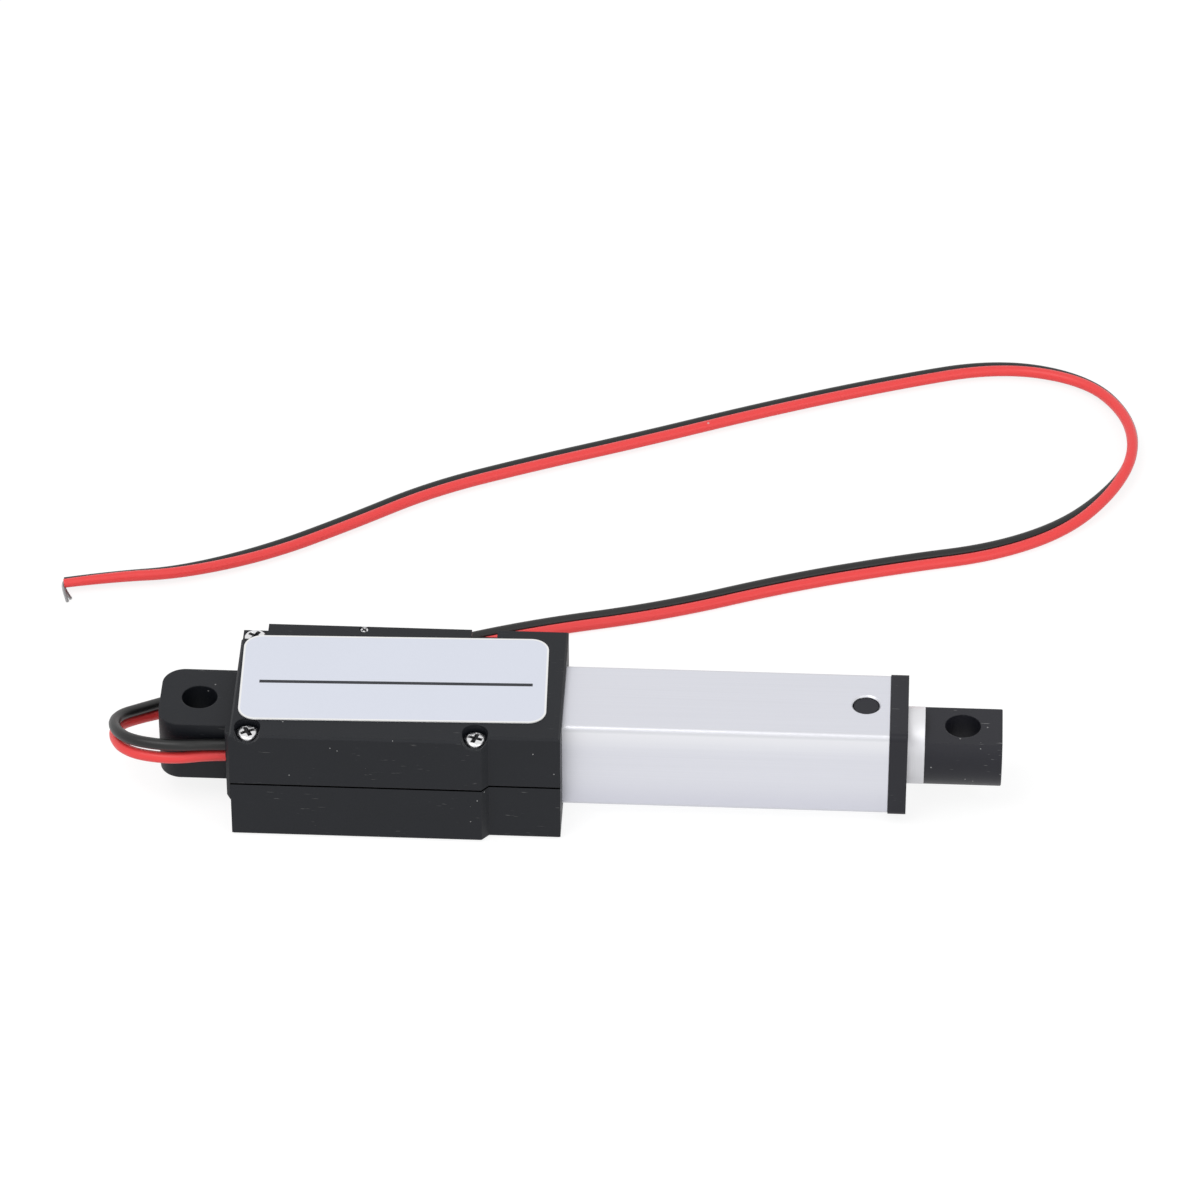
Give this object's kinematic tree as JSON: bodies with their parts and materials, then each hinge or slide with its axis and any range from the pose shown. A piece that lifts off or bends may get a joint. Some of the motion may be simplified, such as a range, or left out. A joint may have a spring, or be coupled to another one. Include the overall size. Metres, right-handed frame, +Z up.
{
  "type": "micro linear actuator",
  "caption": "Micro linear actuator: black two-shell gear motor housing with a rear pin tang, square aluminium tube, sliding rod with a pin eye, and red and black leads.",
  "frame": {"origin": "centre of the rear pin hole, at the middle of the tang's thickness", "axes": "+X along the rod towards its eye, +Z up along both pin holes' axes"},
  "size_m": [0.125, 0.0908, 0.0143],
  "materials": {
    "black_plastic": "fine matte moulded nylon",
    "nut_plastic": "smooth natural acetal",
    "label_film": "satin printed film",
    "anodised_tube": "satin clear anodised",
    "rod_aluminium": "fine ground",
    "screw_steel": "bright zinc plated",
    "motor_steel": "nickel plated",
    "motor_iron": "dark sintered",
    "gear_brass": "machined",
    "copper_wire": "enamelled copper",
    "board_green": "solder mask",
    "red_insulation": "smooth vinyl",
    "black_insulation": "smooth vinyl",
    "tinned_strands": "dull tin"
  },
  "bodies": {
    "frame": {"upper_housing": "black_plastic", "lower_housing": "black_plastic", "rear_mount": "black_plastic", "housing_screws": "screw_steel", "edge_screw": "screw_steel", "label": "label_film", "actuator_tube": "anodised_tube", "front_cap": "black_plastic", "gearbox_rear_plate": "gear_brass", "gearbox_front_plate": "gear_brass", "gearbox_pillars": "screw_steel", "idler_axle": "screw_steel", "screw_bush": "gear_brass", "motor_can": "motor_steel", "motor_end_bell": "nut_plastic", "motor_terminals": "gear_brass", "motor_magnets": "motor_iron", "limit_board": "board_green", "rear_limit_switch": "black_plastic", "front_limit_switch": "black_plastic", "switch_lead": "copper_wire", "limit_diodes": "black_plastic", "red_wire": "red_insulation", "black_wire": "black_insulation", "red_wire_strands": "tinned_strands", "black_wire_strands": "tinned_strands"},
    "rotor": {"motor_shaft": "screw_steel", "motor_core": "motor_iron", "motor_windings": "copper_wire", "motor_commutator": "gear_brass", "motor_pinion": "gear_brass"},
    "first_idler": {"first_gear": "gear_brass"},
    "second_wheel": {"second_gear": "gear_brass"},
    "third_idler": {"third_gear": "gear_brass"},
    "screw": {"lead_screw": "screw_steel", "output_gear": "gear_brass"},
    "rod": {"rod_tube": "rod_aluminium", "rod_end": "black_plastic", "drive_nut": "nut_plastic"}
  },
  "joints": [
    {"name": "rod_slide", "type": "slide", "parent": "frame", "child": "rod", "axis": [1, 0, 0], "range_m": [0, 0.03]},
    {"name": "screw_spin", "type": "hinge", "parent": "frame", "child": "screw", "pos_m": [0.045, 0, 0], "axis": [-1, 0, 0], "range_deg": [0, 5401]},
    {"name": "third_gear_spin", "type": "hinge", "parent": "frame", "child": "third_idler", "pos_m": [0.028, 0.0032, 0], "axis": [-1, 0, 0], "range_deg": [-11881, 0]},
    {"name": "second_gear_spin", "type": "hinge", "parent": "frame", "child": "second_wheel", "pos_m": [0.0262, 0, 0], "axis": [-1, 0, 0], "range_deg": [0, 26137]},
    {"name": "first_gear_spin", "type": "hinge", "parent": "frame", "child": "first_idler", "pos_m": [0.0246, 0.0032, 0], "axis": [-1, 0, 0], "range_deg": [-57500, 0]},
    {"name": "motor_spin", "type": "hinge", "parent": "frame", "child": "rotor", "pos_m": [0.016, 0, 0], "axis": [-1, 0, 0], "range_deg": [0, 126499]}
  ],
  "couplings": [
    {"joint": "screw_spin", "follows": "rod_slide", "rad_per_m": 3141.6},
    {"joint": "third_gear_spin", "follows": "rod_slide", "rad_per_m": -6911.5},
    {"joint": "second_gear_spin", "follows": "rod_slide", "rad_per_m": 15205},
    {"joint": "first_gear_spin", "follows": "rod_slide", "rad_per_m": -33452},
    {"joint": "motor_spin", "follows": "rod_slide", "rad_per_m": 73594}
  ]
}
